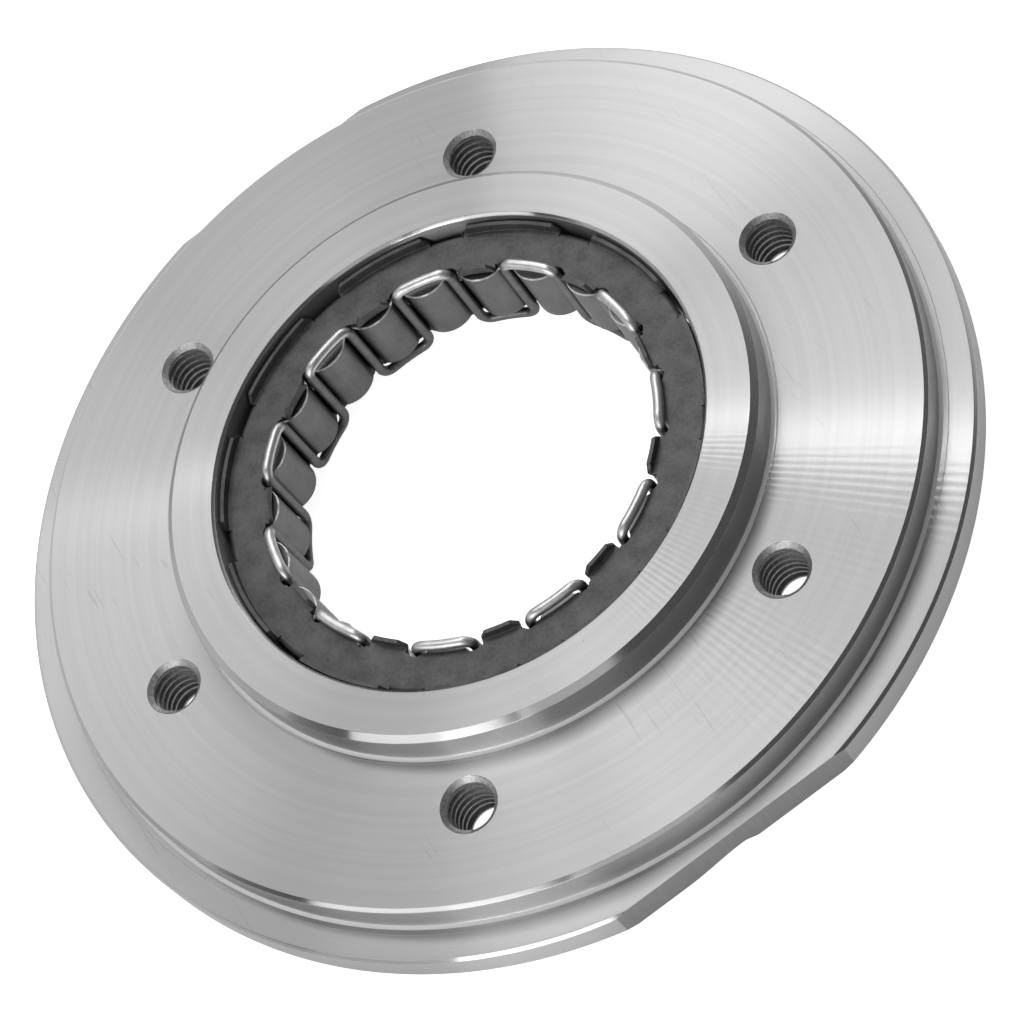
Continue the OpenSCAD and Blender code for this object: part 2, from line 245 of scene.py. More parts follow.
def specks(tree, place):
    """Specks of handling, about 0.2 mm wide, in one of five cells of 5 mm."""
    cells = node(tree, "ShaderNodeTexVoronoi", {"Scale": 0.2 / MM}, {"Vector": place}).outputs
    chance = node(tree, "ShaderNodeSeparateXYZ", None, {0: cells["Color"]}).outputs[0]
    rare = node(tree, "ShaderNodeMath", {"operation": "GREATER_THAN", 1: 0.8}, {0: chance})
    speck = node(tree, "ShaderNodeMapRange", {"From Min": 0.012, "From Max": 0.03, "To Min": 1.0,
                                              "To Max": 0.0}, {"Value": cells["Distance"]})
    return node(tree, "ShaderNodeMath", {"operation": "MULTIPLY"}, {0: speck, 1: rare})


def scratches(tree, place):
    """Hairline scratches, drawn 0.1 mm wide so that they show at all."""
    drawn_out = node(tree, "ShaderNodeMapping",
                     {"Rotation": (0, 0, 0.6), "Scale": (3 / MM, 0.13 / MM, 0.13 / MM)},
                     {"Vector": place})
    hairs = node(tree, "ShaderNodeTexNoise", {"Scale": 1.0, "Detail": 0.0, "Distortion": 0.6},
                 {"Vector": drawn_out})
    line = node(tree, "ShaderNodeMapRange", {"From Min": 0.73, "From Max": 0.77}, {"Value": hairs})
    # They lie in patches about 15 mm wide
    patches = node(tree, "ShaderNodeTexNoise", {"Scale": 0.07 / MM, "Detail": 2.0},
                   {"Vector": place})
    patch = node(tree, "ShaderNodeMapRange", {"From Min": 0.58, "From Max": 0.64},
                 {"Value": patches})
    return node(tree, "ShaderNodeMath", {"operation": "MULTIPLY"}, {0: line, 1: patch})


def turned_steel(steel):
    """Fine-turned steel: the tool's rings stretch each light into a sweep across the rings."""
    material, tree = new_material("turned_steel")
    coordinates = node(tree, "ShaderNodeTexCoord").outputs
    place, normal = coordinates["Object"], coordinates["Normal"]
    upward = node(tree, "ShaderNodeSeparateXYZ", None, {0: normal}).outputs[2]
    spoke = node(tree, "ShaderNodeVectorMath", {"operation": "MULTIPLY", 1: (1, 1, 0)}, {0: place})
    radius = node(tree, "ShaderNodeVectorMath", {"operation": "LENGTH"},
                  {0: spoke}).outputs["Value"]
    outward = node(tree, "ShaderNodeVectorMath", {"operation": "NORMALIZE"}, {0: spoke})

    # The tool's path wanders from ring to ring. Its true feed of 0.1 mm is too fine to show, so it
    # is drawn in rings of about 0.3 mm.
    ring = node(tree, "ShaderNodeTexNoise", {"noise_dimensions": "1D", "Scale": 3.3 / MM,
                                             "Detail": 3.0, "Roughness": 0.6}, {"W": radius})
    around = node(tree, "ShaderNodeVectorMath", {"operation": "CROSS_PRODUCT", 0: (0, 0, 1)},
                  {1: outward})
    across = node(tree, "ShaderNodeVectorMath", {"operation": "CROSS_PRODUCT"},
                  {0: around, 1: normal})
    wander = node(tree, "ShaderNodeMapRange", {"To Min": -WANDER, "To Max": WANDER},
                  {"Value": ring})
    skew = node(tree, "ShaderNodeVectorMath", {"operation": "SCALE"}, {0: around, "Scale": wander})
    tangent = node(tree, "ShaderNodeVectorMath", {"operation": "ADD"}, {0: across, 1: skew})
    ripples = chatter(tree, place, radius, outward, upward)
    height = node(tree, "ShaderNodeMath", {"operation": "MULTIPLY_ADD", 1: GROOVE_DEPTH},
                  {0: ring, 2: ripples})
    bump = node(tree, "ShaderNodeBump", {"Strength": 1.0, "Distance": 1.0}, {"Height": height})

    # Wider rings, a millimetre or two apart, where the insert wore or the feed changed
    band = node(tree, "ShaderNodeTexNoise", {"noise_dimensions": "1D", "Scale": 0.7 / MM,
                                             "Detail": 4.0, "Roughness": 0.7}, {"W": radius})
    tone = node(tree, "ShaderNodeMapRange", {"From Min": 0.25, "From Max": 0.75, "To Min": 0.93,
                                             "To Max": 1.03}, {"Value": band})
    for marks, shade in ((specks(tree, place), SPECK_SHADE),
                         (scratches(tree, place), SCRATCH_SHADE)):
        tone = node(tree, "ShaderNodeMath", {"operation": "MULTIPLY_ADD", 1: shade},
                    {0: marks, 2: tone})
    tinted = node(tree, "ShaderNodeVectorMath", {"operation": "SCALE", 0: steel[:3]},
                  {"Scale": tone})

    # Chamfers are cut by the insert's flank in one pass, smoother than the faces and the walls
    chamfer = node(tree, "ShaderNodeMath", {"operation": "COMPARE", 1: CHAMFER_RISE,
                                            2: CHAMFER_SPREAD}, {0: upward})
    roughness = node(tree, "ShaderNodeMapRange", {"To Min": FACE_ROUGHNESS,
                                                  "To Max": CHAMFER_ROUGHNESS}, {"Value": chamfer})
    finish_surface(tree, {"Metallic": 1.0, "Anisotropic": 1.0},
                   {"Base Color": tinted, "Roughness": roughness, "Tangent": tangent,
                    "Normal": bump})
    return material


def relief_painted_highlight(steel):
    """Turned reliefs: dragged by the tool's rounded tip, so satin and lit from all round, with a
    colour painted lighter than the turned faces' as a highlight.
    """
    material, tree = new_material("relief_painted_highlight")
    place = node(tree, "ShaderNodeTexCoord").outputs["Object"]
    # The drag marks of 0.05 mm are too fine to show, and are drawn 0.3 mm wide
    drag = node(tree, "ShaderNodeTexNoise", {"Scale": 3.5 / MM, "Detail": 2.0}, {"Vector": place})
    shade = toned(tree, steel, drag, (0.3, 0.7), (0.96, 1.02))
    finish_surface(tree, {"Metallic": 0.6, "Roughness": 0.62}, {"Base Color": shade})
    return material


def milled_steel(steel):
    """Milled flats, left as cut and dulled by handling: greyer than the turned faces."""
    material, tree = new_material("milled_steel")
    place = node(tree, "ShaderNodeTexCoord").outputs["Object"]
    # The cutter's upright marks, about 0.5 mm wide and 6 mm long
    upright = node(tree, "ShaderNodeMapping", {"Scale": (1.8 / MM, 1.8 / MM, 0.16 / MM)},
                   {"Vector": place})
    marks = node(tree, "ShaderNodeTexNoise", {"Scale": 1.0, "Detail": 3.0}, {"Vector": upright})
    shade = toned(tree, steel, marks, (0.3, 0.7), (0.94, 1.05))
    height = node(tree, "ShaderNodeMath", {"operation": "MULTIPLY", 1: 4 * MICRON}, {0: marks})
    bump = node(tree, "ShaderNodeBump", {"Strength": 1.0, "Distance": 1.0}, {"Height": height})
    finish_surface(tree, {"Metallic": 1.0, "Roughness": 0.45},
                   {"Base Color": shade, "Normal": bump})
    return material


def tapped_steel(name, steel):
    """Tapped holes: torn by the tap, so matt. A darker copy paints shade on the flanks and hole
    walls, as in the grooves, and a lighter copy paints light on the crests and countersinks.
    """
    material, tree = new_material(name)
    place = node(tree, "ShaderNodeTexCoord").outputs["Object"]
    # Torn grain, 0.4 mm wide
    grain = node(tree, "ShaderNodeTexNoise", {"Scale": 2.5 / MM, "Detail": 2.0}, {"Vector": place})
    shade = toned(tree, steel, grain, (0.3, 0.7), (0.7, 1.15))
    finish_surface(tree, {"Metallic": 1.0, "Roughness": 0.5}, {"Base Color": shade})
    return material


def phosphated_sheet(sheet):
    """Pressed steel sheet, zinc phosphated: dark, matt and mottled by the crystals of the coat."""
    material, tree = new_material("phosphated_sheet")
    place = node(tree, "ShaderNodeTexCoord").outputs["Object"]
    # Crystals of 0.05 mm are too fine to show, and are drawn 0.45 mm wide, in clouds of 3 mm
    crystals = node(tree, "ShaderNodeTexNoise", {"Scale": 2.2 / MM, "Detail": 2.0},
                    {"Vector": place})
    clouds = node(tree, "ShaderNodeTexNoise", {"Scale": 0.35 / MM, "Detail": 3.0},
                  {"Vector": place})
    mottle = node(tree, "ShaderNodeMath", {"operation": "MULTIPLY_ADD", 1: 0.6},
                  {0: crystals, 2: clouds})
    shade = toned(tree, sheet, mottle, (0.55, 1.05), (0.72, 1.28))
    height = node(tree, "ShaderNodeMath", {"operation": "MULTIPLY", 1: 8 * MICRON}, {0: crystals})
    bump = node(tree, "ShaderNodeBump", {"Strength": 1.0, "Distance": 1.0}, {"Height": height})
    finish_surface(tree, {"Metallic": 0.6, "Roughness": 0.5}, {"Base Color": shade, "Normal": bump})
    return material


# Painted highlight: the wire keeps its darker tint up to the first of these depths below its top,
# and has the lighter tint from the second
SHADED_BELOW, LIT_ABOVE = 1.6 * MM, 0.7 * MM


def drawn_wire(wire, painted_lit):
    """Hard-drawn spring wire: the legs in a darker tint, and the front loops painted lighter as a
    highlight.
    """
    material, tree = new_material("drawn_spring_wire")
    place = node(tree, "ShaderNodeTexCoord").outputs["Object"]
    # Stains about 1 mm wide
    stains = node(tree, "ShaderNodeTexNoise", {"Scale": 0.9 / MM, "Detail": 3.0}, {"Vector": place})
    tone = node(tree, "ShaderNodeMapRange", {"From Min": 0.3, "From Max": 0.7, "To Min": 0.85,
                                             "To Max": 1.06}, {"Value": stains})
    height = node(tree, "ShaderNodeSeparateXYZ", None, {0: place}).outputs[2]
    # Painted highlight and shade: the colour goes from the darker tint to the lighter one towards
    # the wire's top
    front = node(tree, "ShaderNodeMapRange",
                 {"interpolation_type": "SMOOTHSTEP", "From Min": SPRING_HIGH.z - SHADED_BELOW,
                  "From Max": SPRING_HIGH.z - LIT_ABOVE}, {"Value": height})
    metal = node(tree, "ShaderNodeMix", {"data_type": "RGBA", 6: wire, 7: painted_lit},
                 {0: front}).outputs[2]
    shade = node(tree, "ShaderNodeVectorMath", {"operation": "SCALE"}, {0: metal, "Scale": tone})
    finish_surface(tree, {"Metallic": 1.0, "Roughness": 0.42}, {"Base Color": shade})
    return material


def tumbled_steel(steel):
    """Hardened sprags, tumbled and left dark: satin, with a fine grain along their length."""
    material, tree = new_material("tumbled_sprag_steel")
    place = node(tree, "ShaderNodeTexCoord").outputs["Object"]
    # Drawing grain of 0.05 mm is too fine to show, and is drawn 0.4 mm wide and 5 mm long
    along = node(tree, "ShaderNodeMapping", {"Scale": (2.6 / MM, 2.6 / MM, 0.2 / MM)},
                 {"Vector": place})
    grain = node(tree, "ShaderNodeTexNoise", {"Scale": 1.0, "Detail": 2.0}, {"Vector": along})
    clouds = node(tree, "ShaderNodeTexNoise", {"Scale": 0.26 / MM, "Detail": 2.0},
                  {"Vector": place})
    both = node(tree, "ShaderNodeMath", {"operation": "MULTIPLY_ADD", 1: 0.5},
                {0: grain, 2: clouds})
    shade = toned(tree, steel, both, (0.5, 1.0), (0.85, 1.12))
    finish_surface(tree, {"Metallic": 1.0, "Roughness": 0.38}, {"Base Color": shade})
    return material


def painted_highlight_edge(steel):
    """Sprag chamfers that face upwards: painted lighter as a highlight, and rough, so they catch
    light from all round.
    """
    material, tree = new_material("sprag_edge_painted_highlight")
    place = node(tree, "ShaderNodeTexCoord").outputs["Object"]
    # Nicks 0.3 mm wide
    nicks = node(tree, "ShaderNodeTexNoise", {"Scale": 3 / MM, "Detail": 2.0}, {"Vector": place})
    shade = toned(tree, steel, nicks, (0.3, 0.7), (0.8, 1.05))
    finish_surface(tree, {"Metallic": 1.0, "Roughness": 0.6}, {"Base Color": shade})
    return material


# Modelling helpers

# How far a cutter stands out past the metal that it cuts
OVERCUT = 1 * MM
# A face lies on a surface if it is this near to it
NEARLY = 0.01 * MM


def deselect_all():
    """Nothing stays selected, so that an operator acts on the new piece only."""
    if bpy.context.object and bpy.context.object.mode != "OBJECT":
        bpy.ops.object.mode_set(mode="OBJECT")
    bpy.ops.object.select_all(action="DESELECT")


def activate(piece):
    """The piece alone is selected and active."""
    deselect_all()
    piece.select_set(True)
    bpy.context.view_layer.objects.active = piece


def edit_all(piece, operator, **settings):
    """Runs an edit mode operator on the whole piece."""
    activate(piece)
    bpy.ops.object.mode_set(mode="EDIT")
    bpy.ops.mesh.select_all(action="SELECT")
    operator(**settings)
    bpy.ops.object.mode_set(mode="OBJECT")


def apply_modifier(piece, kind, **settings):
    """Adds a modifier with these settings and applies it."""
    activate(piece)
    made = piece.modifiers.new(kind.lower(), kind)
    for key, value in settings.items():
        setattr(made, key, value)
    bpy.ops.object.modifier_apply(modifier=made.name)


def close_mesh(piece):
    """Merges doubles and turns all faces outwards."""
    edit_all(piece, bpy.ops.mesh.remove_doubles, threshold=1e-7)
    edit_all(piece, bpy.ops.mesh.normals_make_consistent, inside=False)


def lathe(name, section, steps, solid=False):
    """Turns a piece: a circle is extruded along the corners of a section of (radius, height)."""
    deselect_all()
    radius, height = section[0]
    bpy.ops.mesh.primitive_circle_add(vertices=steps, radius=radius, location=(0, 0, height),
                                      fill_type="NGON" if solid else "NOTHING")
    piece = bpy.context.object
    piece.name = name
    bpy.ops.object.transform_apply(location=True, rotation=True, scale=True)
    bpy.ops.object.mode_set(mode="EDIT")
    bpy.ops.mesh.select_all(action="SELECT")
    for next_radius, next_height in section[1:]:
        rise = (0, 0, next_height - height)
        bpy.ops.mesh.extrude_region_move(TRANSFORM_OT_translate={"value": rise})
        grow = next_radius / radius
        if abs(grow - 1) > 1e-9:
            bpy.ops.transform.resize(value=(grow, grow, 1), center_override=(0, 0, 0))
        radius, height = next_radius, next_height
    bpy.ops.object.mode_set(mode="OBJECT")
    close_mesh(piece)
    return piece


def block(name, low, high):
    """A plain block between two corners."""
    deselect_all()
    middle = [(a + b) / 2 for a, b in zip(low, high)]
    size = [b - a for a, b in zip(low, high)]
    bpy.ops.mesh.primitive_cube_add(size=1, location=middle, scale=size)
    made = bpy.context.object
    made.name = name
    bpy.ops.object.transform_apply(location=True, rotation=True, scale=True)
    return made


def combine(piece, others, operation):
    """Cuts these solids from the piece, or joins them to it, and deletes them."""
    for other in others:
        apply_modifier(piece, "BOOLEAN", object=other, operation=operation, solver="EXACT")
        bpy.data.objects.remove(other)


def round_axis(step, count):
    """The turn round the clutch's axis to this one of so many like places."""
    return Matrix.Rotation(2 * math.pi * step / count, 4, "Z")


def copy_of(original, name, move):
    """A copy with a mesh of its own, moved in its mesh."""
    copy = bpy.data.objects.new(name, original.data.copy())
    bpy.context.scene.collection.objects.link(copy)
    copy.data.transform(move)
    return copy


def smooth(piece, degrees):
    """Smooth shading up to this angle, with large faces kept flat."""
    activate(piece)
    bpy.ops.object.shade_smooth_by_angle(angle=math.radians(degrees), keep_sharp_edges=False)
    apply_modifier(piece, "WEIGHTED_NORMAL", keep_sharp=True, weight=100)


def dress(piece, material):
    """The piece gets this one material."""
    piece.data.materials.clear()
    piece.data.materials.append(material)


def dress_faces(piece, material, belongs):
    """The faces that belong, by their middle and normal, get this further material."""
    piece.data.materials.append(material)
    for face in piece.data.polygons:
        if belongs(face.center, face.normal):
            face.material_index = len(piece.data.materials) - 1


# Outer race

RACE_STEPS, HOLE_STEPS, NOTCH_SLICES = 360, 96, 24
# The middles of a relief's faces are this near to the height of the face that it is cut into
RELIEF_REACH = 0.2 * MM
# The near side's rear faces are milled from this far outside the register
MILLED_MARGIN = 10 * MM


def race_section(s):
    """Corners of the race's section as (radius, height), from the bore's rear mouth outwards."""
    rim, hub_top = RACE_HIGH.x, RACE_HIGH.z
    bore, hub, pilot, register = s.bore / 2, s.hub / 2, s.pilot / 2, s.register / 2
    chamfer, step = s.rim_chamfer, s.relief_step

    def relief(wall, width, face):
        """A shallow relief cut into the face, with a sloping foot that rises to the wall."""
        return [
            (wall + width, face),
            (wall + width - step, face - step),
            (wall + s.relief_fillet, face - step),
            (wall, face - step + s.relief_rise),
        ]

    return [
        (bore + s.bore_chamfer, 0),
        (register - chamfer, 0),
        (register, chamfer),
        (register, s.register_height),
        (rim - chamfer, s.register_height),
        (rim, s.register_height + chamfer),
        (rim, s.ledge - s.rim_chamfer_height),
        (rim - chamfer, s.ledge),
        *relief(pilot, s.pilot_relief, s.ledge),
        (pilot, s.main_face - s.pilot_chamfer_height),
        (pilot - s.pilot_chamfer, s.main_face),
        *relief(hub, s.hub_relief, s.main_face),
        (hub, hub_top - s.hub_chamfer_height),
        (hub - s.hub_chamfer, hub_top),
        (bore + s.bore_chamfer, hub_top),
        (bore, hub_top - s.bore_chamfer),
        (bore, s.bore_chamfer),
        (bore + s.bore_chamfer, 0),
    ]


def hole_cutter(race, threads):
    """A plain hole at the thread's outer diameter, with a small chamfer at both mouths."""
    radius, mouth = threads.diameter / 2, threads.diameter / 2 + threads.mouth + OVERCUT
    low, high = race.register_height, race.main_face
    section = [(mouth, low - OVERCUT), (radius, low + threads.mouth),
               (radius, high - threads.mouth), (mouth, high + OVERCUT)]
    return lathe("hole_cutter", section, HOLE_STEPS, solid=True)


def notch_cutter(s):
    """The notch's solid: a block cut in slices, whose top is then drawn down to the two slopes."""
    low = (s.notch_place - s.notch_long, -s.flat - OVERCUT, s.register_height - OVERCUT)
    high = (s.notch_place + s.notch_short, -s.flat + s.notch_depth,
            s.register_height + s.notch_height)
    made = block("notch_cutter", low, high)
    for i in range(1, NOTCH_SLICES):
        x = low[0] + (high[0] - low[0]) * i / NOTCH_SLICES
        edit_all(made, bpy.ops.mesh.bisect, plane_co=(x, 0, 0), plane_no=(1, 0, 0))
    for corner in made.data.vertices:
        if corner.co.z > s.register_height:
            reach = corner.co.x - s.notch_place
            share = min(1, abs(reach) / (s.notch_long if reach < 0 else s.notch_short))
            fall = (1 + math.cos(math.pi * share)) / 2
            corner.co.z = s.register_height + s.notch_height * fall
    return made


class CLUTCH_OT_outer_race(bpy.types.Operator):
    """Turns the outer race and cuts its holes, flats and notch"""
    bl_idname = "clutch.outer_race"
    bl_label = "Outer race"

    def execute(self, context):
        scene = context.scene
        sizes, threads, tones = scene.race_sizes, scene.thread_sizes, scene.clutch_colours
        race = lathe("turned_race", race_section(sizes), RACE_STEPS)
        apply_modifier(race, "BEVEL", width=sizes.edge_break, segments=2, limit_method="ANGLE",
                       angle_limit=math.radians(25))

        places = [round_axis(i, threads.count) @ Matrix.Translation((threads.circle / 2, 0, 0))
                  for i in range(threads.count)]
        hole = hole_cutter(sizes, threads)
        cutters = [copy_of(hole, "hole", place) for place in places]
        bpy.data.objects.remove(hole)
        reach = RACE_HIGH.x
        for side in (-1, 1):
            near, far = sorted((side * sizes.flat, side * 2 * reach))
            cutters.append(block("flat_cutter", (-reach, near, sizes.register_height - OVERCUT),
                                 (reach, far, sizes.ledge + OVERCUT)))
        cutters.append(notch_cutter(sizes))
        combine(race, cutters, "DIFFERENCE")
        smooth(race, 40)

        def in_hole(middle, normal):
            """On the wall of a tapped hole."""
            return abs(normal.z) < 0.5 and any(
                (middle.xy - place.translation.xy).length < threads.diameter / 2 + NEARLY
                for place in places)

        def on_relief(middle, normal):
            """On the relief's sloping foot: it looks up, but not straight up."""
            feet = ((sizes.hub / 2, sizes.hub_relief, sizes.main_face),
                    (sizes.pilot / 2, sizes.pilot_relief, sizes.ledge))
            return 0.5 < normal.z < 0.9999 and any(
                wall < middle.xy.length < wall + width and abs(middle.z - face) < RELIEF_REACH
                for wall, width, face in feet)

        def is_milled(middle, normal):
            """On one of the two flats, or on the notch's slopes and the rear chamfer by them."""
            flat = (abs(normal.y) > 0.99 and middle.z < sizes.ledge
                    and abs(middle.y) > sizes.flat - NEARLY)
            rear = (normal.z < -0.5 and middle.z > sizes.register_height + NEARLY
                    and middle.y < -sizes.register / 2 - MILLED_MARGIN)
            return flat or rear

        dress(race, turned_steel(tones.race_steel))
        # The holes' walls get the darker tint, painted shade in the holes
        dress_faces(race, tapped_steel("tapped_flank_painted_shade", tones.hole_painted_shade), in_hole)
        # The reliefs' sloping feet get the lighter tint, painted highlight
        dress_faces(race, relief_painted_highlight(tones.relief_painted_highlight), on_relief)
        dress_faces(race, milled_steel(tones.flat_steel), is_milled)
        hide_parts("outer_race")
        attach(race, "outer_race")
        return {"FINISHED"}


# Threads

THREAD_STEPS, MOUTH_STEPS = 48, 72
# Half of the ridge's height at its root and at its crest, as shares of the pitch
ROOT_SHARE, CREST_SHARE = 0.44, 0.15
# The ridge reaches into the hole's wall, and its countersink ends just below the main face
WALL_BITE, FACE_GAP = 0.02 * MM, 0.02 * MM
# At its rear end the crest rises from this far inside the root, within this many turns
RUN_OUT_DEPTH, RUN_OUT_TURNS = 0.03 * MM, 0.5


def wound_ridge(root, crest, low, high, pitch):
    """The ridge of one screw thread: its section is wound round the hole's axis."""
    deselect_all()
    bpy.ops.mesh.primitive_plane_add(size=1, location=(0, 0, 0), rotation=(math.pi / 2, 0, 0))
    ridge = bpy.context.object
    bpy.ops.object.transform_apply(location=True, rotation=True, scale=True)
    for corner in ridge.data.vertices:
        radius, share = (root, ROOT_SHARE) if corner.co.x > 0 else (crest, CREST_SHARE)
        corner.co = (radius, 0, low + math.copysign(share * pitch, corner.co.z))
    edit_all(ridge, bpy.ops.mesh.delete, type="ONLY_FACE")
    turns = (high - low) / pitch
    steps = round(THREAD_STEPS * turns)
    apply_modifier(ridge, "SCREW", axis="Z", angle=2 * math.pi * turns, screw_offset=high - low,
                   iterations=1, steps=steps, render_steps=steps, use_smooth_shade=True)
    start = root - RUN_OUT_DEPTH
    for corner in ridge.data.vertices:
        if corner.co.xy.length < (root + crest) / 2:
            share = min(1, max(0, (corner.co.z - low) / pitch / RUN_OUT_TURNS))
            corner.co.xy *= (start + (crest - start) * share) / corner.co.xy.length
    edit_all(ridge, bpy.ops.mesh.fill_holes, sides=0)
    close_mesh(ridge)
    return ridge


class CLUTCH_OT_threads(bpy.types.Operator):
    """Winds the ridge of one screw thread and copies it to every tapped hole"""
    bl_idname = "clutch.threads"
    bl_label = "Screw threads"

    def execute(self, context):
        scene = context.scene
        race, sizes = scene.race_sizes, scene.thread_sizes
        root, crest = sizes.diameter / 2 + WALL_BITE, sizes.crest / 2
        root_half, crest_half = ROOT_SHARE * sizes.pitch, CREST_SHARE * sizes.pitch
        rear = race.register_height + sizes.mouth
        sink_top = race.main_face - FACE_GAP
        sink_foot = sink_top - sizes.countersink
        thread = wound_ridge(root, crest, rear + root_half, sink_foot, sizes.pitch)

        ring_foot = sink_foot - sizes.collar
        sink = lathe("countersink", [(root, sink_top), (crest, sink_foot), (crest, ring_foot),
                                     (root, ring_foot), (root, sink_top)], MOUTH_STEPS)
        combine(thread, [sink], "UNION")
        wide = sizes.diameter
        trim = block("trim", (-wide, -wide, sink_top), (wide, wide, sink_top + wide))
        combine(thread, [trim], "DIFFERENCE")
        # The last ridge closes to a ring at the rear mouth, over the crest's run-out
        last = lathe("last_ridge", [(root, rear), (crest, rear + root_half - crest_half),
                                    (crest, rear + root_half + crest_half),
                                    (root, rear + 2 * root_half), (root, rear)], MOUTH_STEPS)
        combine(thread, [last], "UNION")

        # Lit and shaded copies of one material: painted shade on the flanks, painted light on the
        # crests and countersinks
        flank = bpy.data.materials["tapped_flank_painted_shade"]
        painted_lit = tapped_steel("tapped_crest_painted_light", scene.clutch_colours.crest_painted_light)
        for i in range(sizes.count):
            # Every thread starts at the same side of its hole
            place = (round_axis(i, sizes.count) @ Matrix.Translation((sizes.circle / 2, 0, 0))
                     @ round_axis(-i, sizes.count))
            copy = copy_of(thread, f"bolt_thread_{i + 1}", place)
            smooth(copy, 25)
            dress(copy, flank)
            dress_faces(copy, painted_lit,
                        lambda middle, normal: abs(normal.z) < 0.3 or middle.z > sink_foot)
            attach(copy, "outer_race")
        bpy.data.objects.remove(thread)
        return {"FINISHED"}


# Spring

CORNER_STEPS, LOOP_STEPS = 8, 6


def meander_path(sizes):
    """Points of one closed wire: under a sprag, up a gap, over the next sprag and down again."""
    reach = max(SPRING_HIGH.x, SPRING_HIGH.y, -SPRING_LOW.x, -SPRING_LOW.y)
    radius = reach - sizes.wire / 2
    low, high = SPRING_LOW.z + sizes.wire / 2, SPRING_HIGH.z - sizes.wire / 2
    leg = math.pi / SPRAG_COUNT * radius
    corner = sizes.corner

    def arc(x, z, start, end):
        """A corner round (x, z), from one angle to another."""
        angles = [start + (end - start) * i / CORNER_STEPS for i in range(CORNER_STEPS + 1)]
        return [(x + corner * math.cos(a), z + corner * math.sin(a)) for a in angles]

    def loop(start, end, z):
        """The straight run between two corners."""
        return [(start + (end - start) * i / LOOP_STEPS, z) for i in range(1, LOOP_STEPS)]

    quarter, inside, outside, wave = math.pi / 2, leg - corner, leg + corner, 4 * leg
    points = loop(-inside, inside, low)
    points += arc(inside, low + corner, -quarter, 0)
    points += arc(outside, high - corner, 2 * quarter, quarter)
    points += loop(outside, wave - outside, high)
    points += arc(wave - outside, high - corner, quarter, 0)
    points += arc(wave - inside, low + corner, 2 * quarter, 3 * quarter)
    path = []
    for i in range(SPRAG_COUNT // 2):
        for along, z in points:
            angle = sizes.turn + (along + i * wave) / radius
            path.append((radius * math.cos(angle), radius * math.sin(angle), z))
    return path


class CLUTCH_OT_spring(bpy.types.Operator):
    """Models the meander spring as one closed round wire"""
    bl_idname = "clutch.spring"
    bl_label = "Meander spring"

    def execute(self, context):
        sizes, tones = context.scene.spring_sizes, context.scene.clutch_colours
        path = meander_path(sizes)
        curve = bpy.data.curves.new("spring_wire", "CURVE")
        curve.dimensions = "3D"
        curve.bevel_depth = sizes.wire / 2
        curve.bevel_resolution = 5
        spline = curve.splines.new("POLY")
        spline.points.add(len(path) - 1)
        for point, place in zip(spline.points, path):
            point.co = (*place, 1)
        spline.use_cyclic_u = True
        spline.use_smooth = True
        wire = bpy.data.objects.new("spring_wire", curve)
        context.collection.objects.link(wire)
        activate(wire)
        bpy.ops.object.convert(target="MESH")
        wire = context.object
        bpy.ops.object.shade_smooth()
        dress(wire, drawn_wire(tones.spring_wire, tones.painted_lit_wire))
        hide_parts("meander_spring")
        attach(wire, "sprag_unit")
        return {"FINISHED"}


# Cage rings and sprags, made from merged copies of their CAD nodes

def clean_copy(name, source):
    """A CAD node's shape as one closed mesh, with its flat faces made whole again."""
    piece = copy_of(source, name, Matrix())
    close_mesh(piece)
    edit_all(piece, bpy.ops.mesh.dissolve_limited, angle_limit=math.radians(0.5))
    return piece


class CLUTCH_OT_cage(bpy.types.Operator):
    """Breaks the edges of the two cage rings and gives them their phosphated sheet"""
    bl_idname = "clutch.cage"
    bl_label = "Cage rings"

    def execute(self, context):
        scene = context.scene
        sheet = phosphated_sheet(scene.clutch_colours.cage_sheet)
        for name in ("front_cage_ring", "rear_cage_ring"):
            ring = clean_copy(f"{name}_sheet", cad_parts[name])
            apply_modifier(ring, "BEVEL", width=scene.cage_sizes.sheet_edge, segments=2,
                           limit_method="ANGLE", angle_limit=math.radians(50))
            smooth(ring, 35)
            dress(ring, sheet)
            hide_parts(name)
            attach(ring, "sprag_unit")
        return {"FINISHED"}


class CLUTCH_OT_sprags(bpy.types.Operator):
    """Makes one smooth sprag and copies it to all its places"""
    bl_idname = "clutch.sprags"
    bl_label = "Sprags"

    def execute(self, context):
        tones = context.scene.clutch_colours
        first = clean_copy("first_sprag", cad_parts["sprag_01"])
        smooth(first, 35)
        dress(first, tumbled_steel(tones.sprag_steel))
        # The chamfers that face upwards get the lighter tint, painted highlight
        dress_faces(first, painted_highlight_edge(tones.sprag_edge),
                    lambda middle, normal: 0.3 < normal.z < 0.95)
        for i in range(SPRAG_COUNT):
            name = f"sprag_{i + 1:02d}"
            sprag = copy_of(first, f"{name}_steel", round_axis(i, SPRAG_COUNT))
            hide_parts(name)
            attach(sprag, name)
        bpy.data.objects.remove(first)
        return {"FINISHED"}


# Stage

FLOOR_WIDTH = 6
# Focal length on a sensor of this width, both in millimetres, and the nearest that is drawn
CAMERA_LENS, SENSOR_WIDTH, CAMERA_NEAR = 131.98, 36, 10 * MM
CAMERA_PLACE = Vector((26.60, -301.97, 417.51)) * MM
# The camera's right, up and backward directions
CAMERA_AXES = ((0.79764, -0.46549, -0.38354), (0.60098, 0.66724, 0.44003),
               (0.05108, -0.58148, 0.81196))

# The floor's own glow, which lifts it towards white, as the camera and as the metal sees it
FLOOR_GLOW_SEEN, FLOOR_GLOW_MIRRORED = 0.9, 0.3
# The room is white along the horizon, up to the first of these heights of the direction that is
# looked in, and dim from the second
BACKDROP_TOP, BACKDROP_FADE, CEILING_LIGHT = 0.05, 0.3, 0.11
# It is dim too on this side, behind the camera, where it darkens as the direction nears the side
DARK_SIDE, DARK_FROM, DARK_FULL = (0.64, -0.77, 0.0), 0.5, 0.8

